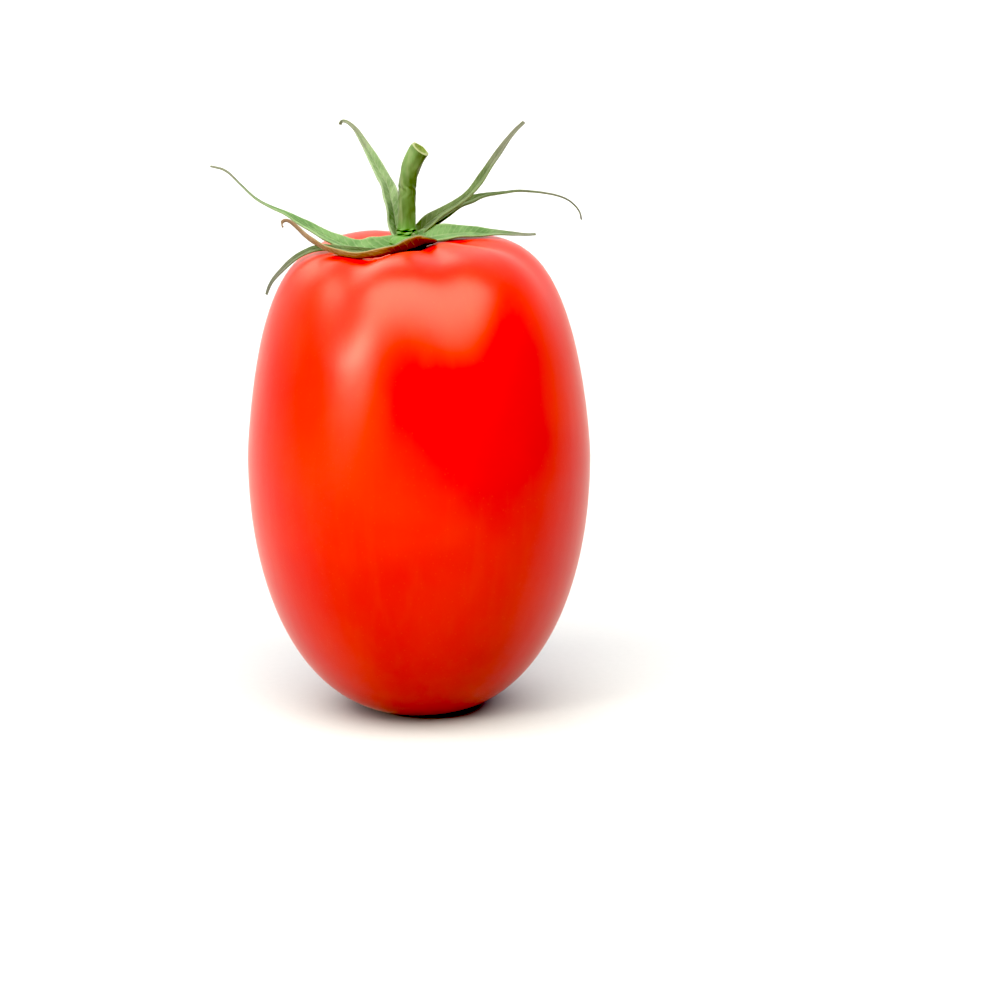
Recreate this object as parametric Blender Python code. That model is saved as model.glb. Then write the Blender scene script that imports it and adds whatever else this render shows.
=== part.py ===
"""A ripe plum tomato as picked: the fruit with its calyx of seven sepals and a short cut stem.

The fruit stands upright on the small flat spot at its blossom end. Metres, +Z up; the origin is the
centre of that flat spot, and the fruit's axis runs up +Z. Angles round the axis are counted from +X
towards +Y, as seen from above.
"""

import math

import bmesh
import bpy
from mathutils import Vector

MM = 0.001

# Driving dimensions of the fruit, in metres.
FRUIT_RADIUS = 25.85 * MM
BELLY_HEIGHT = 39.0 * MM
SHOULDER_RISE = 33.0 * MM
FLAT_SPOT_RADIUS = 7.0 * MM
CROWN_LEAN = 0.5 * MM  # how far the crown leans to the left of the axis

# How square the outline is above and below the belly: 2 and 2 would be an ellipse.
SHOULDER_POWER_ACROSS = 5.7
SHOULDER_POWER_UP = 1.4
BOTTOM_POWER_ACROSS = 2.45
BOTTOM_POWER_DOWN = 2.1

# The hollow that the calyx sits in, a little off the axis and wider on the left.
HOLLOW_CENTRE = (-3.0 * MM, -0.4 * MM)
HOLLOW_DEPTH = 3.2 * MM
HOLLOW_RADIUS = 6.4 * MM
HOLLOW_WIDER_LEFT = 0.22
HOLLOW_STEEPNESS = 2.8

# Creases between the shoulder lobes: angle round the axis in degrees, and depth.
CREASES = (
    (237, 0.9 * MM),
    (286, 0.55 * MM),
    (345, 0.45 * MM),
    (48, 0.7 * MM),
    (105, 0.5 * MM),
    (168, 0.8 * MM),
)
CREASE_HALF_ANGLE = 12
CREASE_RADII = (3.0 * MM, 9.0 * MM)  # a crease starts at the first radius and is full at the second
CREASE_HEIGHTS = (56.0 * MM, 69.5 * MM)  # and has faded out below the first height

# Mesh fineness.
FRUIT_SIDES = 56
TOP_RINGS = 14
TOP_RADIUS = 20.5 * MM
SIDE_RINGS = 9
BOTTOM_RINGS = 12
STEM_SIDES = 14
STEM_STATIONS = 22
SEPAL_STATIONS = 22

# The stem: x, y, z and radius in millimetres, from the hollow's floor up to the cut end.
STEM_ROUTE = (
    (-1.5, -0.4, 70.15, 1.3),
    (-1.5, -0.4, 70.7, 2.0),
    (-1.5, -0.4, 71.2, 2.4),
    (-1.5, -0.4, 72.2, 2.0),
    (-1.6, -0.3, 73.6, 1.45),
    (-1.7, -0.2, 76.0, 1.3),
    (-1.7, -0.1, 79.0, 1.25),
    (-1.6, -0.1, 81.2, 1.25),
    (-1.0, -0.3, 83.2, 1.3),
    (-0.1, -0.5, 84.8, 1.45),
    (0.5, -0.6, 85.6, 1.45),
)

# Each sepal: the way its upper face looks at the base and at the tip, then its route from the stem out
# to the tip, as x, y, z and half width in millimetres.
SEPALS = {
    "sepal_back_left": (
        (0.3, -0.9, 0.3),
        (0.5, -0.8, 0.2),
        (
            (-3.2, 2.0, 72.4, 0.9),
            (-3.3, 2.4, 75.0, 1.0),
            (-4.5, 3.4, 78.3, 1.25),
            (-6.2, 4.6, 82.0, 1.25),
            (-8.2, 5.8, 85.5, 0.85),
            (-10.0, 6.8, 87.9, 0.55),
            (-11.3, 7.4, 88.5, 0.4),
            (-12.0, 7.4, 87.7, 0.35),
        ),
    ),
    "sepal_back_right": (
        (-0.3, -0.6, 0.7),
        (-0.6, -0.6, 0.5),
        (
            (0.8, 1.3, 72.6, 0.8),
            (1.6, 2.3, 74.3, 1.0),
            (3.3, 3.1, 75.6, 1.1),
            (5.2, 3.9, 76.8, 1.0),
            (7.2, 4.6, 78.3, 0.8),
            (9.6, 5.5, 80.7, 0.85),
            (11.8, 6.4, 83.9, 1.05),
            (14.0, 7.4, 86.7, 0.8),
            (16.0, 8.2, 88.4, 0.4),
        ),
    ),
    "sepal_right_arch": (
        (0.0, -0.3, 1.0),
        (0.6, -0.2, 0.8),
        (
            (-1.2, 3.2, 72.2, 0.8),
            (1.8, 5.2, 73.2, 0.85),
            (5.8, 7.4, 75.4, 0.75),
            (10.2, 9.5, 77.0, 0.55),
            (14.5, 11.5, 77.3, 0.35),
            (18.7, 13.0, 76.7, 0.3),
            (22.1, 14.0, 75.4, 0.3),
            (23.9, 14.4, 74.1, 0.3),
            (24.4, 14.4, 72.4, 0.3),
        ),
    ),
    "sepal_right_low": (
        (0.0, -0.45, 0.9),
        (0.1, -0.5, 0.85),
        (
            (1.5, -0.7, 72.1, 0.9),
            (4.7, 0.2, 72.9, 1.4),
            (8.5, 1.6, 72.8, 1.2),
            (12.2, 3.0, 72.4, 0.85),
            (15.5, 4.3, 71.9, 0.5),
            (17.6, 5.0, 71.7, 0.35),
        ),
    ),
    "sepal_left_long": (
        (0.0, -0.35, 0.93),
        (0.3, -0.5, 0.8),
        (
            (-4.5, 0.0, 72.2, 1.1),
            (-7.0, -1.8, 72.0, 1.8),
            (-10.1, -1.8, 72.3, 1.6),
            (-12.6, -1.0, 72.8, 1.2),
            (-15.5, 0.4, 73.8, 0.9),
            (-18.2, 1.6, 75.3, 0.7),
            (-20.8, 2.6, 76.2, 0.45),
            (-23.9, 3.6, 77.4, 0.35),
            (-27.3, 4.6, 80.0, 0.3),
            (-31.2, 5.2, 82.1, 0.3),
        ),
    ),
    "sepal_front_hook": (
        (0.0, 0.3, 0.95),
        (0.1, 0.8, 0.5),
        (
            (0.9, -3.5, 72.5, 1.0),
            (-0.3, -5.2, 72.6, 1.3),
            (-2.0, -6.9, 72.6, 1.3),
            (-4.1, -8.8, 72.4, 1.0),
            (-6.9, -9.9, 72.1, 0.65),
            (-10.0, -9.4, 71.8, 0.5),
            (-12.7, -7.3, 71.9, 0.5),
            (-14.8, -5.9, 72.0, 0.6),
            (-16.6, -5.0, 72.7, 0.6),
            (-18.1, -4.4, 73.9, 0.45),
            (-19.3, -4.0, 75.1, 0.35),
            (-20.1, -3.9, 75.2, 0.35),
            (-19.9, -4.0, 74.2, 0.35),
        ),
    ),
    "sepal_left_droop": (
        (-0.1, -0.5, 0.85),
        (-0.6, -0.5, 0.5),
        (
            (-3.9, -2.7, 71.2, 0.7),
            (-6.4, -4.7, 71.1, 0.7),
            (-9.2, -5.1, 71.5, 0.65),
            (-12.2, -4.7, 72.0, 0.6),
            (-15.1, -4.0, 71.8, 0.6),
            (-17.6, -3.9, 70.3, 0.55),
            (-19.9, -3.8, 67.9, 0.5),
            (-21.4, -3.5, 65.9, 0.4),
            (-22.3, -3.4, 64.4, 0.35),
        ),
    ),
}
SEPAL_HALF_THICKNESS = 0.33  # millimetres; less where a sepal is narrow
SEPAL_CUP = 0.25  # how far the margins stand above the midrib, as a share of the half width


def clear_scene():
    for old in list(bpy.data.objects):
        bpy.data.objects.remove(old, do_unlink=True)


def material(name, colour, roughness):
    """A plain Principled material; colour is linear red, green, blue."""
    made = bpy.data.materials.new(name)
    made.use_nodes = True
    shader = made.node_tree.nodes["Principled BSDF"]
    shader.inputs["Base Color"].default_value = (*colour, 1.0)
    shader.inputs["Roughness"].default_value = roughness
    shader.inputs["Metallic"].default_value = 0.0
    return made


def finished_object(name, mesh_builder, skin):
    """Makes an object of a bmesh, shades it smooth and gives it its material."""
    bmesh.ops.recalc_face_normals(mesh_builder, faces=mesh_builder.faces[:])
    mesh = bpy.data.meshes.new(name)
    mesh_builder.to_mesh(mesh)
    mesh_builder.free()
    mesh.shade_smooth()
    mesh.set_sharp_from_angle(angle=math.radians(50))
    mesh.materials.append(skin)
    made = bpy.data.objects.new(name, mesh)
    bpy.context.scene.collection.objects.link(made)
    return made


def ease(low, high, value):
    """0 below low, 1 above high, and a smooth step between them."""
    share = min(max((value - low) / (high - low), 0.0), 1.0)
    return share * share * (3.0 - 2.0 * share)


def shoulder_height(radius):
    """Height of the upper half's plain outline at a radius."""
    across = (radius / FRUIT_RADIUS) ** SHOULDER_POWER_ACROSS
    return BELLY_HEIGHT + SHOULDER_RISE * max(1.0 - across, 0.0) ** (1.0 / SHOULDER_POWER_UP)


def shoulder_radius(height):
    """Radius of the upper half's plain outline at a height."""
    up = ((height - BELLY_HEIGHT) / SHOULDER_RISE) ** SHOULDER_POWER_UP
    return FRUIT_RADIUS * max(1.0 - up, 0.0) ** (1.0 / SHOULDER_POWER_ACROSS)


def fruit_outline():
    """The turned outline as (radius, height), from the axis at the flat spot to the axis at the top."""
    flat = (FLAT_SPOT_RADIUS / FRUIT_RADIUS) ** BOTTOM_POWER_ACROSS
    flat_drop = (1.0 - flat) ** (1.0 / BOTTOM_POWER_DOWN)
    last_angle = math.asin(flat_drop ** (BOTTOM_POWER_DOWN / 2.0))
    outline = [(0.0, 0.0)]
    for ring in range(BOTTOM_RINGS):
        angle = last_angle * (1.0 - ring / BOTTOM_RINGS)
        radius = FRUIT_RADIUS * math.cos(angle) ** (2.0 / BOTTOM_POWER_ACROSS)
        drop = math.sin(angle) ** (2.0 / BOTTOM_POWER_DOWN) / flat_drop
        outline.append((radius, BELLY_HEIGHT * (1.0 - drop)))
    side_top = shoulder_height(TOP_RADIUS)
    for ring in range(SIDE_RINGS):
        height = BELLY_HEIGHT + (side_top - BELLY_HEIGHT) * ring / SIDE_RINGS
        outline.append((shoulder_radius(height), height))
    for ring in range(TOP_RINGS + 1):
        radius = TOP_RADIUS * (1.0 - ring / TOP_RINGS)
        outline.append((radius, shoulder_height(radius)))
    return outline


def hollow_drop(x, y):
    """How far the hollow round the stem lowers the top at a place."""
    away_x = x - HOLLOW_CENTRE[0]
    away_y = y - HOLLOW_CENTRE[1]
    away = math.hypot(away_x, away_y)
    radius = HOLLOW_RADIUS * (1.0 - HOLLOW_WIDER_LEFT * math.cos(math.atan2(away_y, away_x)))
    return HOLLOW_DEPTH * math.exp(-((away / radius) ** HOLLOW_STEEPNESS))


def crease_depth(x, y, z):
    """How far the creases between the shoulder lobes pull the skin in at a place."""
    angle = math.degrees(math.atan2(y, x))
    depth = 0.0
    for crease_angle, crease in CREASES:
        turn = (angle - crease_angle + 180.0) % 360.0 - 180.0
        depth += crease * math.exp(-((turn / CREASE_HALF_ANGLE) ** 2))
    return depth * ease(*CREASE_RADII, math.hypot(x, y)) * ease(*CREASE_HEIGHTS, z)


def build_fruit(skin):
    """Turns the outline about the axis, then sinks the stem hollow and the creases into it."""
    shape = bmesh.new()
    points = [shape.verts.new((radius, 0.0, height)) for radius, height in fruit_outline()]
    edges = [shape.edges.new(pair) for pair in zip(points, points[1:])]
    bmesh.ops.spin(
        shape,
        geom=points + edges,
        cent=(0, 0, 0),
        axis=(0, 0, 1),
        angle=math.tau,
        steps=FRUIT_SIDES,
        use_merge=True,
    )
    bmesh.ops.remove_doubles(shape, verts=shape.verts[:], dist=0.01 * MM)
    bmesh.ops.recalc_face_normals(shape, faces=shape.faces[:])
    shape.normal_update()
    for point in shape.verts:
        if point.co.z > BELLY_HEIGHT:
            inward = point.normal * crease_depth(*point.co)
            drop = hollow_drop(point.co.x, point.co.y) * ease(
                FRUIT_RADIUS, TOP_RADIUS * 0.7, math.hypot(point.co.x, point.co.y)
            )
            rise = (point.co.z - BELLY_HEIGHT) / SHOULDER_RISE
            point.co -= inward
            point.co.x -= CROWN_LEAN * rise * rise
            point.co.z -= drop
    return finished_object("fruit", shape, skin)


def smooth_route(points, stations):
    """Reads evenly spaced stations from a Catmull-Rom curve through the given points."""
    values = [Vector(point) for point in points]
    values = [values[0] * 2 - values[1], *values, values[-1] * 2 - values[-2]]
    spans = len(points) - 1
    found = []
    for station in range(stations):
        along = spans * station / (stations - 1)
        span = min(int(along), spans - 1)
        t = along - span
        before, start, end, after = values[span : span + 4]
        found.append(
            0.5
            * (
                2 * start
                + (end - before) * t
                + (2 * before - 5 * start + 4 * end - after) * t * t
                + (3 * start - before - 3 * end + after) * t * t * t
            )
        )
    return found


def sweep(name, rings, skin):
    """Joins rings of points, each with the same count, into one closed body with flat ends."""
    shape = bmesh.new()
    loops = [[shape.verts.new(point) for point in ring] for ring in rings]
    for near, far in zip(loops, loops[1:]):
        for i in range(len(near)):
            after = (i + 1) % len(near)
            shape.faces.new((near[i], near[after], far[after], far[i]))
    shape.faces.new(loops[0][::-1])
    shape.faces.new(loops[-1])
    return finished_object(name, shape, skin)


def directions(route):
    """Unit directions along a route's stations."""
    places = [station.to_3d() for station in route]
    ends = zip([places[0], *places[:-1]], [*places[1:], places[-1]])
    return [(after - before).normalized() for before, after in ends]


def build_stem(skin):
    """A round stem that flares into the base that carries the sepals, cut square at the top."""
    route = smooth_route(STEM_ROUTE, STEM_STATIONS)
    rings = []
    for station, ahead in zip(route, directions(route)):
        side = Vector((0, 1, 0)).cross(ahead).normalized()
        front = ahead.cross(side)
        ring = []
        for i in range(STEM_SIDES):
            angle = math.tau * i / STEM_SIDES
            out = side * math.cos(angle) + front * math.sin(angle)
            ring.append((station.to_3d() + out * station.w) * MM)
        rings.append(ring)
    return sweep("stem", rings, skin)


def sepal_section(half_width):
    """Points round a sepal's cross-section: (across, up), a shallow cup with thin margins."""
    thick = min(SEPAL_HALF_THICKNESS, 0.7 * half_width)
    upper = []
    lower = []
    for share in (-1.0, -0.5, 0.0, 0.5, 1.0):
        lift = SEPAL_CUP * half_width * share * share
        thickness = thick * (1.0 - 0.7 * share * share)
        upper.append((share * half_width, lift + thickness))
        lower.append((share * half_width, lift - thickness))
    return upper + lower[::-1]


def build_sepal(name, skin):
    face_at_base, face_at_tip, points = SEPALS[name]
    route = smooth_route(points, SEPAL_STATIONS)
    rings = []
    for i, (station, ahead) in enumerate(zip(route, directions(route))):
        face = Vector(face_at_base).lerp(Vector(face_at_tip), i / (SEPAL_STATIONS - 1))
        across = ahead.cross(face).normalized()
        up = across.cross(ahead)
        section = sepal_section(station.w)
        rings.append([(station.to_3d() + across * u + up * v) * MM for u, v in section])
    return sweep(name, rings, skin)


clear_scene()
build_fruit(material("tomato_skin", (0.80, 0.02, 0.008), 0.25))
green = material("stem_green", (0.16, 0.27, 0.06), 0.55)
build_stem(green)
for sepal_name in SEPALS:
    build_sepal(sepal_name, green)
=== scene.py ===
"""A ripe plum tomato as picked, with its green calyx and a short cut stem, standing on its blossom end."""

import math

import bpy
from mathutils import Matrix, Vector


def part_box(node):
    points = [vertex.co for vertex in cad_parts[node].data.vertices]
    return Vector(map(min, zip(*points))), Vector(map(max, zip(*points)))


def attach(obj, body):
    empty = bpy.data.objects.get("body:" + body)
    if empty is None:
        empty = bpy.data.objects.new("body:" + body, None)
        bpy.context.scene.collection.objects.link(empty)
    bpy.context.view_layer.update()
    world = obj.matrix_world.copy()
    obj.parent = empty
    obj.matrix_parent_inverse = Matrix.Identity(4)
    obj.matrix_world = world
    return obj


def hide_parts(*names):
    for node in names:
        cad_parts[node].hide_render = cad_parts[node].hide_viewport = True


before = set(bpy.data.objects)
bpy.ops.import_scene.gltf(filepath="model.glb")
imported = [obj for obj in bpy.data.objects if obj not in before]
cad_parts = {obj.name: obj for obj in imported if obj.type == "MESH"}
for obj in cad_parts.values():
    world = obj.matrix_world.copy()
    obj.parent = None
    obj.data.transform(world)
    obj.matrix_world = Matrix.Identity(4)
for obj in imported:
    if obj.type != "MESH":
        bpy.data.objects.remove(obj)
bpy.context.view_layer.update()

MM = 0.001

# ------------------------------------------------------------------------------------------------
# Camera. A long lens, a little above the fruit and looking slightly down on its crown, so that
# the far rim of the stem hollow shows behind the calyx.
# ------------------------------------------------------------------------------------------------

CAMERA_DISTANCE = 600 * MM
CAMERA_RISE = math.radians(14)
CAMERA_AIM = Vector((12.2, 0.0, 32.0)) * MM
CAMERA_LENS = 142.6

bpy.ops.object.select_all(action="DESELECT")
bpy.ops.object.camera_add(
    location=CAMERA_AIM + CAMERA_DISTANCE * Vector((0, -math.cos(CAMERA_RISE), math.sin(CAMERA_RISE))),
    rotation=(math.pi / 2 - CAMERA_RISE, 0, 0),
)
camera = bpy.context.object
camera.name = "camera"
camera.data.lens = CAMERA_LENS
camera.data.clip_start = 0.01
bpy.context.scene.camera = camera


# ------------------------------------------------------------------------------------------------
# Floor. A wide pale table top of matt card, which the fruit stands on. Its finish is the first
# one here, so the two classes that every finish is mixed with are defined with it.
# ------------------------------------------------------------------------------------------------


class Link:
    """One output of a node in a finish. Arithmetic on links adds Math nodes to that finish."""

    def __init__(self, finish, socket):
        self.finish = finish
        self.socket = socket

    def maths(self, operation, first, second=0.0, third=0.0):
        return self.finish.node("ShaderNodeMath", {"operation": operation}, {0: first, 1: second, 2: third})

    def __add__(self, other):
        return self.maths("ADD", self, other)

    def __radd__(self, other):
        return self.maths("ADD", other, self)

    def __sub__(self, other):
        return self.maths("SUBTRACT", self, other)

    def __rsub__(self, other):
        return self.maths("SUBTRACT", other, self)

    def __mul__(self, other):
        return self.maths("MULTIPLY", self, other)

    def __rmul__(self, other):
        return self.maths("MULTIPLY", other, self)

    def fades(self, low, high):
        """0 where the link is at low, 1 where it is at high, and smooth between them."""
        return self.finish.node(
            "ShaderNodeMapRange",
            {"interpolation_type": "SMOOTHSTEP"},
            {"Value": self, "From Min": low, "From Max": high},
        )

    def absolute(self):
        return self.maths("ABSOLUTE", self)

    def sine(self):
        return self.maths("SINE", self)


class Finish:
    """A material mixed from nodes, ending in a Principled shader."""

    def __init__(self, name):
        self.material = bpy.data.materials.new(name)
        self.material.use_nodes = True
        self.tree = self.material.node_tree
        self.shader = self.tree.nodes["Principled BSDF"]

    def node(self, kind, settings=None, inputs=None, output=0):
        """Adds a node, sets its settings first and then its inputs, and gives one of its outputs."""
        made = self.tree.nodes.new(kind)
        for name, value in (settings or {}).items():
            setattr(made, name, value)
        self.feed(made, inputs or {})
        return Link(self, made.outputs[output])

    def feed(self, node, inputs):
        """Links or sets a node's inputs, by name or number."""
        for name, value in inputs.items():
            if isinstance(value, Link):
                self.tree.links.new(value.socket, node.inputs[name])
            elif isinstance(value, tuple) and node.inputs[name].type == "RGBA":
                node.inputs[name].default_value = (*value, 1.0)
            else:
                node.inputs[name].default_value = value

    def place(self, stretch=(1, 1, 1), move=(0, 0, 0)):
        """Object coordinates, in metres, moved and then stretched."""
        at = self.node("ShaderNodeTexCoord", output="Object")
        moved = self.node("ShaderNodeVectorMath", {"operation": "ADD"}, {0: at, 1: move})
        return self.node("ShaderNodeVectorMath", {"operation": "MULTIPLY"}, {0: moved, 1: stretch})

    def axes(self, vector):
        """The three numbers of a vector."""
        apart = self.node("ShaderNodeSeparateXYZ", None, {0: vector}).socket.node
        return [Link(self, apart.outputs[i]) for i in range(3)]

    def noise(self, at, scale, detail=2.0, roughness=0.5, distortion=0.0):
        """Soft noise about 0.5, with features 1 / scale metres across."""
        return self.node(
            "ShaderNodeTexNoise",
            None,
            {
                "Vector": at,
                "Scale": scale,
                "Detail": detail,
                "Roughness": roughness,
                "Distortion": distortion,
            },
            output="Fac",
        )

    def blend(self, share, first, second):
        """Mixes two colours: first where share is 0, second where it is 1."""
        made = self.tree.nodes.new("ShaderNodeMix")
        made.data_type = "RGBA"
        self.feed(made, {0: share, 6: first, 7: second})
        return Link(self, made.outputs[2])

    def bump(self, height, depth, strength=1.0, normal=None):
        """Raises the surface by depth metres where height is 1."""
        inputs = {"Height": height, "Distance": depth, "Strength": strength}
        if normal:
            inputs["Normal"] = normal
        return self.node("ShaderNodeBump", None, inputs)

    def surface(self, **inputs):
        """Feeds the shader; words in a socket's name are joined by _ here."""
        self.feed(self.shader, {name.replace("_", " "): value for name, value in inputs.items()})
        return self.material


FLOOR_SIZE = 6.0

bpy.ops.object.select_all(action="DESELECT")
bpy.ops.mesh.primitive_grid_add(x_subdivisions=8, y_subdivisions=8, size=FLOOR_SIZE)
floor = bpy.context.object
floor.name = "floor"
card = Finish("pale_card")
card_grain = card.noise(card.place(), 900, detail=3)
floor.data.materials.append(
    card.surface(
        Base_Color=card.blend(card_grain, (0.395, 0.420, 0.500), (0.420, 0.445, 0.525)),
        Roughness=0.8,
        Specular_IOR_Level=0.2,
    )
)


# ------------------------------------------------------------------------------------------------
# Light. A white tent, pale all round except on the side of the camera and darker to the right. A
# broad soft box hangs overhead in front, a small one stands to the upper left, and two more light
# the crown from behind and the table top beyond the fruit.
# ------------------------------------------------------------------------------------------------

TENT_LIGHT = 1.2
TENT_DARK = 0.03
TENT_LIGHT_SIDE = (-0.26, 0.966, 0.0)
TENT_DARK_UNTIL = -0.62
TENT_LIGHT_FROM = 0.28

tent = bpy.data.worlds.new("tent")
tent.use_nodes = True
bpy.context.scene.world = tent
tent_nodes = tent.node_tree.nodes
tent_links = tent.node_tree.links
way = tent_nodes.new("ShaderNodeTexCoord")
way_back = tent_nodes.new("ShaderNodeVectorMath")
way_back.operation = "DOT_PRODUCT"
way_back.inputs[1].default_value = TENT_LIGHT_SIDE
tent_links.new(way.outputs["Generated"], way_back.inputs[0])
front_fade = tent_nodes.new("ShaderNodeMapRange")
front_fade.interpolation_type = "SMOOTHSTEP"
front_fade.inputs["From Min"].default_value = TENT_DARK_UNTIL
front_fade.inputs["From Max"].default_value = TENT_LIGHT_FROM
front_fade.inputs["To Min"].default_value = TENT_DARK
front_fade.inputs["To Max"].default_value = TENT_LIGHT
tent_links.new(way_back.outputs["Value"], front_fade.inputs["Value"])
tent_links.new(front_fade.outputs[0], tent_nodes["Background"].inputs["Strength"])
tent_nodes["Background"].inputs["Color"].default_value = (1.0, 0.99, 0.98, 1.0)


def soft_box(name, place, aim, width, height, watts):
    """A rectangular lamp at a place, turned to face another."""
    bpy.ops.object.light_add(type="AREA", location=place)
    lamp = bpy.context.object
    lamp.name = name
    lamp.rotation_euler = (Vector(aim) - Vector(place)).to_track_quat("-Z", "Y").to_euler()
    lamp.data.shape = "RECTANGLE"
    lamp.data.size = width
    lamp.data.size_y = height
    lamp.data.energy = watts
    lamp.data.color = LAMP_COLOUR


LAMP_COLOUR = (1.0, 0.93, 0.70)
FRUIT_MIDDLE = (0.0, 0.0, 0.045)
FLOOR_BOX_SPREAD = math.radians(70)
soft_box("overhead_box", (0.0, -0.345, 0.53), (0.0, -0.205, 0.0), 1.14, 0.56, 16.5)
soft_box("left_window", (-0.63, -0.58, 0.33), FRUIT_MIDDLE, 0.18, 0.17, 4.8)
soft_box("back_box", (-0.40, 0.62, 0.62), (-0.2, 0.40, 0.0), 0.8, 0.6, 4.5)
soft_box("floor_box", (0.05, 0.80, 0.70), (0.05, 0.72, 0.0), 1.4, 0.6, 6.0)
bpy.context.object.data.spread = FLOOR_BOX_SPREAD

# Print-like contrast: the darkest tones are let fall to black.
BLACK_LEVEL = 0.064
view = bpy.context.scene.view_settings
view.view_transform = "Standard"
view.use_curve_mapping = True
view.curve_mapping.black_level = (BLACK_LEVEL, BLACK_LEVEL, BLACK_LEVEL)
view.curve_mapping.update()


# ------------------------------------------------------------------------------------------------
# The fruit. A berry with a tough waxy skin over wet flesh, turned here as a fine shell of the
# frame's own outline, then pressed in at the stem hollow and along the creases of its shoulder.
# ------------------------------------------------------------------------------------------------

fruit_low, fruit_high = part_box("fruit")
FRUIT_RADIUS = (fruit_high.y - fruit_low.y) / 2
BELLY_HEIGHT = 39.0 * MM
SHOULDER_RISE = 33.0 * MM
FLAT_SPOT_RADIUS = 7.0 * MM
FLAT_SPOT_SHARES = (0.0, 0.12, 0.25, 0.5, 0.75, 0.93)
CROWN_LEAN = 0.5 * MM
SHOULDER_POWERS = (5.7, 1.4)
BOTTOM_POWERS = (2.45, 2.1)
HOLLOW_CENTRE = Vector((-3.0, -0.4, 0)) * MM
HOLLOW_DEPTH = 3.0 * MM
HOLLOW_RADIUS = 6.2 * MM
HOLLOW_WIDER_LEFT = 0.26
HOLLOW_STEEPNESS = 2.8
CREASE_ANGLES = (237, 286, 345, 48, 105, 168)
CREASE_DEPTHS = (0.9, 0.55, 0.45, 0.7, 0.5, 0.8)
CREASE_HALF_ANGLE = 12
DEEPEST_CREASE = 1.0 * MM
CREASE_STARTS = (3.0 * MM, 9.0 * MM)
CREASE_HEIGHTS = (56.0 * MM, 69.5 * MM)
FRUIT_SIDES = 176
BOTTOM_RINGS = 44
SIDE_RINGS = 34
TOP_RADIUS = 20.5 * MM
TOP_RINGS = 52


def ease(low, high, value):
    """0 below low, 1 above high, and a smooth step between them."""
    share = min(max((value - low) / (high - low), 0.0), 1.0)
    return share * share * (3.0 - 2.0 * share)


def shoulder_height(radius):
    across, up = SHOULDER_POWERS
    return BELLY_HEIGHT + SHOULDER_RISE * max(1 - (radius / FRUIT_RADIUS) ** across, 0) ** (1 / up)


def shoulder_radius(height):
    across, up = SHOULDER_POWERS
    return FRUIT_RADIUS * max(1 - ((height - BELLY_HEIGHT) / SHOULDER_RISE) ** up, 0) ** (1 / across)


def fruit_outline():
    """The turned outline, from the axis at the flat spot up to the axis at the crown."""
    across, down = BOTTOM_POWERS
    flat_drop = (1 - (FLAT_SPOT_RADIUS / FRUIT_RADIUS) ** across) ** (1 / down)
    last_angle = math.asin(flat_drop ** (down / 2))
    outline = [(FLAT_SPOT_RADIUS * share, 0.0) for share in FLAT_SPOT_SHARES]
    for ring in range(BOTTOM_RINGS):
        angle = last_angle * (1 - ring / BOTTOM_RINGS)
        drop = math.sin(angle) ** (2 / down) / flat_drop
        outline.append((FRUIT_RADIUS * math.cos(angle) ** (2 / across), BELLY_HEIGHT * (1 - drop)))
    side_rise = shoulder_height(TOP_RADIUS) - BELLY_HEIGHT
    for ring in range(SIDE_RINGS):
        height = BELLY_HEIGHT + side_rise * ring / SIDE_RINGS
        outline.append((shoulder_radius(height), height))
    for ring in range(TOP_RINGS + 1):
        radius = TOP_RADIUS * (1 - ring / TOP_RINGS)
        outline.append((radius, shoulder_height(radius)))
    return [Vector((radius, 0, height)) for radius, height in outline]


def hollow_weight(at):
    """1 at the bottom of the stem hollow, fading to 0 past its rim."""
    if at.z < BELLY_HEIGHT:
        return 0.0
    away = Vector((at.x, at.y, 0)) - HOLLOW_CENTRE
    radius = HOLLOW_RADIUS * (1 - HOLLOW_WIDER_LEFT * math.cos(math.atan2(away.y, away.x)))
    near_axis = ease(FRUIT_RADIUS, TOP_RADIUS * 0.7, math.hypot(at.x, at.y))
    return math.exp(-((away.length / radius) ** HOLLOW_STEEPNESS)) * near_axis


def crease_weight(at):
    """How deep the creases between the shoulder lobes are at a place, as a share of the deepest."""
    angle = math.degrees(math.atan2(at.y, at.x))
    depth = 0.0
    for crease_angle, crease_depth in zip(CREASE_ANGLES, CREASE_DEPTHS):
        turn = (angle - crease_angle + 180) % 360 - 180
        depth += crease_depth * math.exp(-((turn / CREASE_HALF_ANGLE) ** 2))
    out_from_axis = ease(*CREASE_STARTS, math.hypot(at.x, at.y))
    up_the_side = ease(*CREASE_HEIGHTS, at.z)
    return min(depth, 1.0) * out_from_axis * up_the_side


def lean_weight(at):
    """How far the crown leans aside at a place, as a share of the lean at its top."""
    return max((at.z - BELLY_HEIGHT) / SHOULDER_RISE, 0.0) ** 2


def weigh(piece, name, weight_at):
    """Gives a piece a vertex group, with each vertex's weight worked out from its place."""
    group = piece.vertex_groups.new(name=name)
    for vertex in piece.data.vertices:
        weight = weight_at(vertex.co)
        if weight > 0.001:
            group.add([vertex.index], weight, "REPLACE")
    return name


def modify(piece, kind, **settings):
    """Adds a modifier with these settings to the active piece and applies it."""
    modifier = piece.modifiers.new(kind.lower(), kind)
    for name, value in settings.items():
        setattr(modifier, name, value)
    bpy.ops.object.modifier_apply(modifier=modifier.name)


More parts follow.
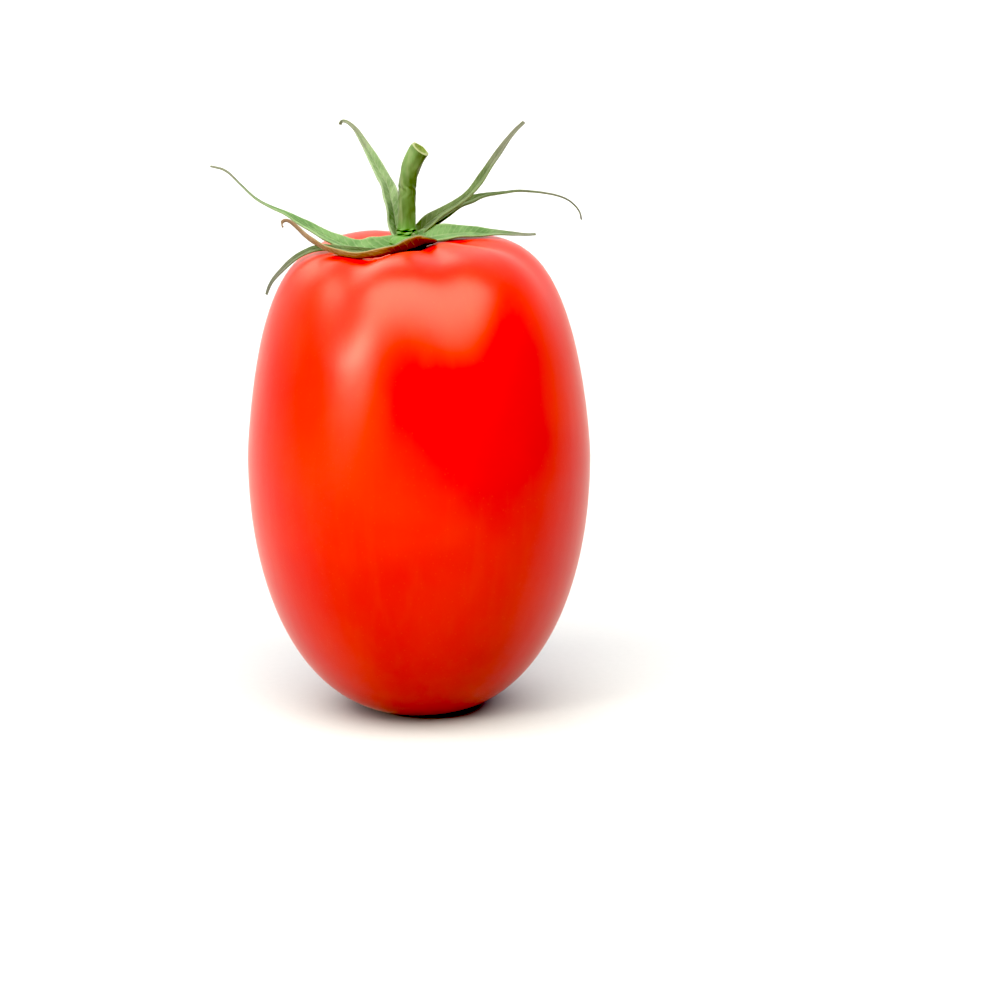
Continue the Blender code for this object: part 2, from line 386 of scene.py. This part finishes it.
bpy.ops.object.select_all(action="DESELECT")
bpy.ops.mesh.primitive_plane_add(size=1 * MM, location=(0, 0, 0))
fruit = bpy.context.object
fruit.name = "tomato_fruit"
bpy.ops.object.mode_set(mode="EDIT")
bpy.ops.mesh.merge(type="CENTER")
outline = fruit_outline()
for here, there in zip(outline, outline[1:]):
    bpy.ops.mesh.extrude_vertices_move(TRANSFORM_OT_translate={"value": there - here})
bpy.ops.mesh.select_all(action="SELECT")
bpy.ops.mesh.spin(steps=FRUIT_SIDES, angle=math.tau, center=(0, 0, 0), axis=(0, 0, 1))
bpy.ops.mesh.select_all(action="SELECT")
bpy.ops.mesh.remove_doubles(threshold=0.005 * MM)
bpy.ops.mesh.normals_make_consistent(inside=False)
bpy.ops.object.mode_set(mode="OBJECT")
creases = weigh(fruit, "creases", crease_weight)
hollow = weigh(fruit, "hollow", hollow_weight)
lean = weigh(fruit, "lean", lean_weight)
modify(fruit, "DISPLACE", vertex_group=creases, direction="NORMAL", mid_level=0, strength=-DEEPEST_CREASE)
modify(fruit, "DISPLACE", vertex_group=lean, direction="X", mid_level=0, strength=-CROWN_LEAN)
modify(fruit, "DISPLACE", vertex_group=hollow, direction="Z", mid_level=0, strength=-HOLLOW_DEPTH)
bpy.ops.object.shade_smooth()

skin = Finish("waxy_tomato_skin")
FRESH_RED = (0.40, 0.006, 0.0008)
SOFT_RED = (0.43, 0.013, 0.0012)
ORANGE_STREAK = (0.43, 0.024, 0.003)
PALE_FLECK = (0.52, 0.09, 0.02)
FLECKS_PER_METRE = 1100.0
skin_at = skin.place()
blotches = skin.noise(skin_at, 45, detail=3, distortion=0.4)
streaks = skin.noise(skin.place((1, 1, 0.12)), 420, detail=3, roughness=0.6)
flecks = skin.node(
    "ShaderNodeTexVoronoi",
    {"feature": "F1"},
    {"Vector": skin_at, "Scale": FLECKS_PER_METRE},
    output="Distance",
)
fleck_spots = 1 - flecks.fades(0.08, 0.18)
ripe = skin.blend(blotches.fades(0.35, 0.7), FRESH_RED, SOFT_RED)
ripe = skin.blend(streaks.fades(0.45, 0.75) * 0.2, ripe, ORANGE_STREAK)
ripe = skin.blend(fleck_spots * 0.08, ripe, PALE_FLECK)
peel = skin.noise(skin_at, 2600, detail=2)
ripples = skin.noise(skin.place((1, 1, 0.45)), 160, detail=2)
fruit.data.materials.append(
    skin.surface(
        Base_Color=ripe,
        Roughness=0.34 + 0.06 * blotches,
        Normal=skin.bump(ripples, 0.12 * MM, 0.5, skin.bump(peel, 0.012 * MM, 0.5)),
        IOR=1.48,
        Subsurface_Weight=0.05,
        Subsurface_Radius=(1.0, 0.15, 0.06),
        Subsurface_Scale=1.5 * MM,
        Sheen_Weight=0.20,
        Sheen_Roughness=0.25,
        Sheen_Tint=(1.0, 0.92, 0.86),
    )
)
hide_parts("fruit")
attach(fruit, "root")


# ------------------------------------------------------------------------------------------------
# The stem. A short woody pedicel, ribbed and slightly waisted, which flares into the fleshy knob
# that carries the sepals and is cut across its top. It grows out of the floor of the hollow.
# ------------------------------------------------------------------------------------------------

STEM_ROUTE = (
    (-1.7, -0.5, 68.4, 2.1),
    (-1.7, -0.5, 69.6, 2.2),
    (-1.7, -0.5, 70.4, 2.4),
    (-1.7, -0.5, 71.2, 2.75),
    (-1.7, -0.5, 71.9, 2.5),
    (-1.7, -0.4, 72.7, 1.75),
    (-1.7, -0.4, 73.8, 1.4),
    (-1.65, -0.3, 75.5, 1.3),
    (-1.6, -0.2, 78.5, 1.26),
    (-1.5, -0.1, 80.7, 1.26),
    (-1.2, -0.1, 82.2, 1.3),
    (-0.7, -0.3, 83.8, 1.38),
    (0.1, -0.5, 85.3, 1.45),
    (0.4, -0.6, 85.7, 1.42),
)
STEM_SIDES = 48
STEM_RINGS = 110
STEM_RIBS = 6
RIB_DEPTH = 0.18
CUT_END_STEPS = ((0.12, 0.10), (0.16, 0.0), (0.12, -0.10), (0.35, -0.05))


def route_curve(route, faces=None):
    """A smooth guide through points of (x, y, z, size) in millimetres, and its length.

    A piece that is bent along it grows by each point's size. With faces, the ways that a blade's
    upper side looks at even steps from the base to the tip, the blade is turned to look there.
    """
    guide = bpy.data.curves.new("route", "CURVE")
    guide.dimensions = "3D"
    guide.twist_mode = "Z_UP"
    guide.resolution_u = 24
    guide.use_radius = True
    spline = guide.splines.new("BEZIER")
    spline.bezier_points.add(len(route) - 1)
    spline.tilt_interpolation = "CARDINAL"
    spline.radius_interpolation = "CARDINAL"
    places = [Vector(point[:3]) * MM for point in route]
    tilt = 0.0
    for i, (knot, point) in enumerate(zip(spline.bezier_points, route)):
        knot.co = places[i]
        knot.handle_left_type = "AUTO"
        knot.handle_right_type = "AUTO"
        knot.radius = point[3]
        if faces:
            ahead = (places[min(i + 1, len(places) - 1)] - places[max(i - 1, 0)]).normalized()
            step, share = divmod(i / (len(route) - 1) * (len(faces) - 1) * 0.9999, 1)
            face = Vector(faces[int(step)]).lerp(Vector(faces[int(step) + 1]), share)
            level = Vector((0, 0, 1)) - ahead * ahead.z
            wanted = face - ahead * face.dot(ahead)
            turn = math.atan2(ahead.dot(level.cross(wanted)), level.dot(wanted))
            tilt += (turn - tilt + math.pi) % math.tau - math.pi
            knot.tilt = tilt
    holder = bpy.data.objects.new("route", guide)
    bpy.context.scene.collection.objects.link(holder)
    bpy.context.view_layer.update()
    return holder, spline.calc_length()


def bend(piece, holder):
    """Bends a piece that lies along +X onto its route, and takes the route away."""
    modify(piece, "CURVE", object=holder, deform_axis="POS_X")
    bpy.data.objects.remove(holder)


def select_where(piece, domain, wanted):
    """In edit mode, selects just the vertices, edges or faces that wanted() accepts."""
    bpy.ops.mesh.select_mode(type={"vertices": "VERT", "edges": "EDGE", "polygons": "FACE"}[domain])
    bpy.ops.mesh.select_all(action="DESELECT")
    bpy.ops.object.mode_set(mode="OBJECT")
    for item in getattr(piece.data, domain):
        item.select = wanted(item)
    bpy.ops.object.mode_set(mode="EDIT")


stem_route, stem_length = route_curve(STEM_ROUTE)
bpy.ops.object.select_all(action="DESELECT")
bpy.ops.mesh.primitive_cylinder_add(
    vertices=STEM_SIDES,
    radius=1 * MM,
    depth=stem_length,
    location=(stem_length / 2, 0, 0),
    rotation=(0, math.pi / 2, 0),
)
stem = bpy.context.object
stem.name = "cut_stem"
bpy.ops.object.transform_apply(location=True, rotation=True, scale=True)
bpy.ops.object.mode_set(mode="EDIT")


def runs_along(edge):
    ends = [stem.data.vertices[i].co.x for i in edge.vertices]
    return abs(ends[0] - ends[1]) > stem_length / 2


select_where(stem, "edges", runs_along)
bpy.ops.mesh.subdivide(number_cuts=STEM_RINGS)
select_where(stem, "polygons", lambda face: face.center.x > stem_length - 0.01 * MM)
stem.data.materials.append(None)
stem.data.materials.append(None)
stem.active_material_index = 1
bpy.ops.object.material_slot_assign()
for inward, up in CUT_END_STEPS:
    bpy.ops.mesh.inset(thickness=inward * MM, depth=up * MM)
bpy.ops.object.mode_set(mode="OBJECT")


def rib_weight(at):
    """1 on the crest of each rib and 0 between them; none on the cut end."""
    on_side = ease(0.8 * MM, 1.0 * MM, math.hypot(at.y, at.z))
    wander = 0.5 * math.sin(at.x / (4.0 * MM))
    return on_side * (0.5 + 0.5 * math.cos(STEM_RIBS * math.atan2(at.z, at.y) + wander))


ribs = weigh(stem, "ribs", rib_weight)
modify(stem, "DISPLACE", vertex_group=ribs, direction="NORMAL", mid_level=0.5, strength=RIB_DEPTH * MM)
bend(stem, stem_route)
bpy.ops.object.shade_smooth_by_angle(angle=math.radians(45))

bark = Finish("ribbed_green_stem")
bark_at = bark.place()
bark_height = bark.axes(bark_at)[2]
fibres = bark.noise(bark.place((1, 1, 0.1)), 1500, detail=4, roughness=0.6)
patches = bark.noise(bark_at, 260, detail=2)
green_bark = bark.blend(patches.fades(0.35, 0.65), (0.036, 0.072, 0.018), (0.090, 0.160, 0.056))
green_bark = bark.blend(fibres.fades(0.48, 0.75) * 0.6, green_bark, (0.15, 0.19, 0.10))
near_knob = 1 - bark_height.fades(73.0 * MM, 76.0 * MM)
green_bark = bark.blend(near_knob * 0.8, green_bark, (0.06, 0.16, 0.036))
stem.data.materials[0] = bark.surface(
    Base_Color=green_bark,
    Roughness=0.62,
    Normal=bark.bump(fibres, 0.16 * MM, 0.8),
    Specular_IOR_Level=0.35,
    Sheen_Weight=0.15,
    Sheen_Roughness=0.5,
)

pith = Finish("cut_stem_end")
CUT_MIDDLE = tuple(-MM * side for side in STEM_ROUTE[-1][:3])
PITH_RADIUS = 0.95 * MM
RIM_RADIUS = 1.25 * MM
from_middle = pith.node(
    "ShaderNodeVectorMath", {"operation": "LENGTH"}, {0: pith.place(move=CUT_MIDDLE)}, output=1
)
cells = pith.noise(pith.place(), 3500, detail=3)
cut_green = pith.blend(cells.fades(0.3, 0.7), (0.07, 0.11, 0.025), (0.13, 0.17, 0.05))
rim = (from_middle + 0.3 * MM * (cells - 0.5)).fades(PITH_RADIUS, RIM_RADIUS)
cut_green = pith.blend(rim, cut_green, (0.21, 0.24, 0.14))
stem.data.materials[1] = pith.surface(
    Base_Color=cut_green,
    Roughness=0.75,
    Normal=pith.bump(cells, 0.12 * MM, 0.8),
    Specular_IOR_Level=0.3,
)
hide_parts("stem")
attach(stem, "root")


# ------------------------------------------------------------------------------------------------
# The sepals. Seven narrow leafy blades that once wrapped the flower, joined to the stem's knob.
# Each is cupped along a midrib and has dried back from a soft green base to a thin grey tip.
# ------------------------------------------------------------------------------------------------

SEPALS = {
    "sepal_back_left": (
        ((0.3, -0.9, 0.3), (0.5, -0.8, 0.2)),
        (
            (-2.4, 0.9, 71.4, 1.0),
            (-3.2, 1.6, 73.0, 1.15),
            (-3.6, 2.3, 75.3, 1.2),
            (-4.0, 2.9, 77.1, 1.2),
            (-4.5, 3.6, 79.1, 1.15),
            (-5.4, 4.1, 80.8, 1.04),
            (-6.4, 4.7, 82.6, 0.9),
            (-7.4, 5.3, 84.4, 0.74),
            (-8.6, 6.0, 86.3, 0.52),
            (-9.4, 6.5, 87.5, 0.38),
            (-10.2, 6.7, 88.3, 0.3),
            (-10.9, 6.9, 88.7, 0.26),
            (-11.5, 7.2, 88.7, 0.25),
            (-11.8, 7.4, 88.1, 0.24),
        ),
    ),
    "sepal_back_right": (
        ((-0.3, -0.6, 0.7), (-0.5, -0.6, 0.6), (-0.7, -0.5, 0.4)),
        (
            (-0.8, 0.4, 71.6, 1.1),
            (0.2, 1.1, 73.0, 1.25),
            (1.3, 1.6, 74.0, 1.25),
            (2.5, 2.3, 74.9, 1.15),
            (3.6, 2.8, 75.6, 0.95),
            (6.1, 3.8, 77.0, 0.72),
            (7.6, 4.5, 78.1, 0.74),
            (8.7, 5.0, 79.3, 0.8),
            (10.0, 5.7, 81.0, 0.8),
            (11.2, 6.3, 82.8, 0.78),
            (12.4, 6.9, 84.4, 0.68),
            (14.5, 7.8, 87.1, 0.5),
            (15.9, 8.3, 88.4, 0.38),
        ),
    ),
    "sepal_right_arch": (
        ((0.0, -0.3, 1.0), (0.3, -0.2, 0.9), (0.6, -0.2, 0.8)),
        (
            (-1.6, 1.2, 71.6, 0.9),
            (0.2, 2.8, 72.7, 1.0),
            (2.0, 4.2, 73.7, 1.1),
            (4.1, 5.6, 74.9, 1.1),
            (6.0, 6.9, 76.0, 0.95),
            (7.6, 7.6, 76.5, 0.85),
            (8.9, 8.6, 76.9, 0.65),
            (10.1, 9.5, 77.1, 0.45),
            (11.4, 10.1, 77.2, 0.32),
            (13.0, 10.8, 77.3, 0.22),
            (14.9, 11.6, 77.4, 0.18),
            (16.9, 12.2, 77.2, 0.17),
            (18.8, 12.7, 76.9, 0.17),
            (20.8, 13.3, 76.4, 0.17),
            (22.4, 13.8, 75.7, 0.16),
            (23.6, 14.2, 74.7, 0.16),
            (24.4, 14.4, 73.5, 0.15),
            (24.6, 14.4, 72.4, 0.15),
        ),
    ),
    "sepal_right_low": (
        ((0.0, -0.5, 0.87), (0.1, -0.55, 0.85)),
        (
            (-1.2, -0.8, 71.6, 1.2),
            (0.7, -0.6, 72.2, 1.5),
            (2.8, 0.1, 72.6, 1.75),
            (5.0, 0.9, 72.7, 1.6),
            (7.4, 1.7, 72.7, 1.3),
            (9.7, 2.5, 72.5, 0.95),
            (11.9, 3.3, 72.4, 0.6),
            (14.3, 4.1, 72.1, 0.38),
            (16.3, 4.7, 71.9, 0.26),
            (17.6, 5.1, 71.9, 0.2),
        ),
    ),
    "sepal_left_long": (
        ((0.1, -0.5, 0.9), (0.2, -0.55, 0.8), (0.3, -0.5, 0.8)),
        (
            (-2.1, -0.5, 71.5, 1.3),
            (-3.7, -1.3, 71.4, 1.7),
            (-5.8, -2.4, 71.1, 1.95),
            (-7.9, -2.7, 70.9, 1.85),
            (-10.1, -2.2, 71.3, 1.5),
            (-12.5, -1.2, 72.1, 1.15),
            (-15.1, 0.2, 73.2, 0.95),
            (-17.4, 1.3, 74.3, 0.75),
            (-19.6, 2.4, 75.4, 0.45),
            (-22.1, 3.2, 76.4, 0.26),
            (-24.3, 3.9, 77.5, 0.2),
            (-26.7, 4.6, 79.6, 0.16),
            (-29.0, 5.0, 81.6, 0.2),
            (-31.2, 5.2, 82.2, 0.18),
        ),
    ),
    "sepal_front_hook": (
        ((0.2, 0.75, 0.65), (0.1, 0.8, 0.6), (0.0, 0.8, 0.6), (0.1, 0.7, 0.6), (0.1, 0.8, 0.5)),
        (
            (-0.8, -1.5, 71.3, 1.2),
            (0.9, -3.1, 72.3, 1.9),
            (-0.3, -4.6, 72.1, 2.0),
            (-2.0, -6.3, 71.9, 1.65),
            (-3.4, -7.8, 71.8, 1.25),
            (-4.6, -9.3, 71.8, 1.0),
            (-6.7, -9.8, 71.5, 0.72),
            (-8.9, -9.9, 71.35, 0.64),
            (-11.1, -9.2, 71.55, 0.64),
            (-13.1, -7.8, 71.9, 0.62),
            (-14.9, -6.2, 72.5, 0.6),
            (-16.5, -5.2, 73.4, 0.55),
            (-17.8, -4.6, 74.6, 0.45),
            (-18.8, -4.3, 75.4, 0.36),
            (-19.6, -4.1, 75.6, 0.3),
            (-20.1, -4.0, 75.2, 0.26),
            (-19.9, -4.0, 74.5, 0.22),
        ),
    ),
    "sepal_left_droop": (
        ((-0.1, -0.5, 0.85), (-0.6, -0.5, 0.5)),
        (
            (-3.0, -1.6, 71.0, 0.8),
            (-5.0, -3.8, 70.8, 0.8),
            (-7.2, -5.4, 71.15, 0.65),
            (-9.6, -6.1, 71.5, 0.6),
            (-12.6, -5.8, 71.75, 0.56),
            (-14.7, -5.2, 71.6, 0.6),
            (-16.4, -4.8, 71.0, 0.58),
            (-18.4, -4.4, 69.7, 0.55),
            (-20.3, -4.0, 67.9, 0.48),
            (-21.4, -3.8, 66.6, 0.4),
            (-22.1, -3.6, 65.4, 0.32),
            (-22.5, -3.5, 64.3, 0.25),
        ),
    ),
}
SEPAL_CELLS_ALONG = 72
SEPAL_CELLS_ACROSS = 10
SEPAL_THICKNESS = 0.42
SEPAL_CUP = 0.28
MIDRIB_GROOVE = 0.16
MARGIN_WAVE = 0.18
WAVE_LENGTH = 0.85 * MM
MARGIN_OUT_OF_STEP = 0.8
GROOVE_WIDTH = 0.2 * MM
TIP_THINNING = 0.55


def leaf_finish(name, pale, deep, vein, dried, dry_from):
    """Soft leaf: lighter along the veins and at the margins, and dried out towards the tip."""
    leaf = Finish(name)
    along, across, _ = leaf.axes(leaf.node("ShaderNodeTexCoord", output="UV"))
    from_midrib = (across - 0.5).absolute() * 2
    at = leaf.place()
    patches = leaf.noise(at, 420, detail=4, roughness=0.6)
    specks = leaf.noise(at, 2200, detail=2)
    midrib = 1 - from_midrib.fades(0.04, 0.18)
    side_veins = ((along * 150 - from_midrib * 9) + 3 * specks).sine().fades(0.55, 1.0)
    margin = from_midrib.fades(0.78, 0.98)
    dry = (along + 0.5 * (patches - 0.5)).fades(dry_from, dry_from + 0.35)
    green = leaf.blend(patches.fades(0.36, 0.64), deep, pale)
    green = leaf.blend(side_veins * 0.3, green, vein)
    green = leaf.blend(midrib * 0.5, green, vein)
    green = leaf.blend(margin * 0.6, green, vein)
    green = leaf.blend(dry * 0.85, green, dried)
    relief = side_veins * 0.4 + specks * 0.5 - midrib * 0.6
    return leaf.surface(
        Base_Color=green,
        Roughness=0.58 + 0.15 * dry,
        Normal=leaf.bump(relief, 0.10 * MM, 0.7),
        Specular_IOR_Level=0.35,
        Sheen_Weight=0.10,
        Sheen_Roughness=0.5,
        Subsurface_Weight=0.08,
        Subsurface_Radius=(0.5, 1.0, 0.25),
        Subsurface_Scale=0.6 * MM,
    )


def make_sepal(name, faces, route, wave_turn, upper, under):
    """Shapes a flat blade one millimetre to each side of its midrib, and bends it onto its route."""
    holder, length = route_curve(route, faces)
    bpy.ops.object.select_all(action="DESELECT")
    bpy.ops.mesh.primitive_grid_add(
        x_subdivisions=SEPAL_CELLS_ALONG, y_subdivisions=SEPAL_CELLS_ACROSS, size=2 * MM
    )
    blade = bpy.context.object
    blade.name = name
    bpy.ops.object.mode_set(mode="EDIT")
    bpy.ops.transform.resize(value=(length / (2 * MM), 1, 1), center_override=(0, 0, 0))
    bpy.ops.transform.translate(value=(length / 2, 0, 0))
    bpy.ops.object.mode_set(mode="OBJECT")

    def wave_weight(at):
        """Small waves along the margins, out of step with each other on the two sides."""
        margin = abs(at.y / MM) ** 3
        side = math.copysign(MARGIN_OUT_OF_STEP, at.y)
        return margin * (0.5 + 0.5 * math.sin(at.x / WAVE_LENGTH + wave_turn + side))

    cup = weigh(blade, "cup", lambda at: (at.y / MM) ** 2)
    groove = weigh(blade, "groove", lambda at: math.exp(-((at.y / GROOVE_WIDTH) ** 2)))
    waves = weigh(blade, "waves", wave_weight)
    thick = weigh(blade, "thick", lambda at: 1 - TIP_THINNING * ease(0.3, 1.0, at.x / length))
    for group, depth in ((cup, SEPAL_CUP), (groove, -MIDRIB_GROOVE), (waves, MARGIN_WAVE)):
        modify(blade, "DISPLACE", vertex_group=group, direction="Z", mid_level=0, strength=depth * MM)
    bend(blade, holder)
    blade.data.materials.append(upper)
    blade.data.materials.append(under)
    modify(
        blade,
        "SOLIDIFY",
        thickness=SEPAL_THICKNESS * MM,
        offset=0,
        vertex_group=thick,
        material_offset=1,
    )
    modify(blade, "SUBSURF", levels=1, render_levels=1)
    bpy.ops.object.shade_smooth()
    return blade


fresh_leaf = leaf_finish(
    "fresh_sepal",
    pale=(0.082, 0.168, 0.070),
    deep=(0.040, 0.105, 0.036),
    vein=(0.165, 0.24, 0.14),
    dried=(0.12, 0.125, 0.115),
    dry_from=0.58,
)
# A darker copy of the fresh sepal finish: painted shade, for the blades that lie in shade.
painted_shade_leaf = leaf_finish(
    "painted_shade_sepal",
    pale=(0.052, 0.088, 0.034),
    deep=(0.027, 0.052, 0.017),
    vein=(0.11, 0.15, 0.085),
    dried=(0.090, 0.092, 0.085),
    dry_from=0.52,
)
leaf_underside = leaf_finish(
    "sepal_underside",
    pale=(0.085, 0.085, 0.030),
    deep=(0.050, 0.045, 0.014),
    vein=(0.15, 0.14, 0.06),
    dried=(0.10, 0.10, 0.075),
    dry_from=0.60,
)
# A lighter copy of the fresh sepal finish: painted light, for the blade that faces the lamps.
painted_light_leaf = leaf_finish(
    "painted_light_sepal",
    pale=(0.140, 0.215, 0.120),
    deep=(0.085, 0.150, 0.072),
    vein=(0.225, 0.285, 0.21),
    dried=(0.14, 0.15, 0.13),
    dry_from=0.60,
)
# The front hook's underside: a dried brown that is partly painted shade, darkened and reddened where that
# side lies in shadow above the skin.
withered_and_shaded_leaf = leaf_finish(
    "withered_and_shaded_sepal",
    pale=(0.17, 0.100, 0.045),
    deep=(0.13, 0.064, 0.030),
    vein=(0.25, 0.18, 0.09),
    dried=(0.17, 0.12, 0.09),
    dry_from=0.60,
)
# Each blade's upper and under finish. The darker and lighter copies of the fresh finish paint shade and
# light onto single blades.
LEAVES = {
    "sepal_back_left": (painted_light_leaf, leaf_underside),
    "sepal_back_right": (painted_shade_leaf, leaf_underside),
    "sepal_right_arch": (painted_shade_leaf, leaf_underside),
    "sepal_right_low": (fresh_leaf, leaf_underside),
    "sepal_left_long": (fresh_leaf, leaf_underside),
    "sepal_front_hook": (painted_shade_leaf, withered_and_shaded_leaf),
    "sepal_left_droop": (painted_shade_leaf, leaf_underside),
}
WAVE_TURN = 2.1
for turn, (node, (faces, route)) in enumerate(SEPALS.items()):
    blade = make_sepal(node.replace("sepal", "calyx_blade"), faces, route, WAVE_TURN * turn, *LEAVES[node])
    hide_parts(node)
    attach(blade, "root")
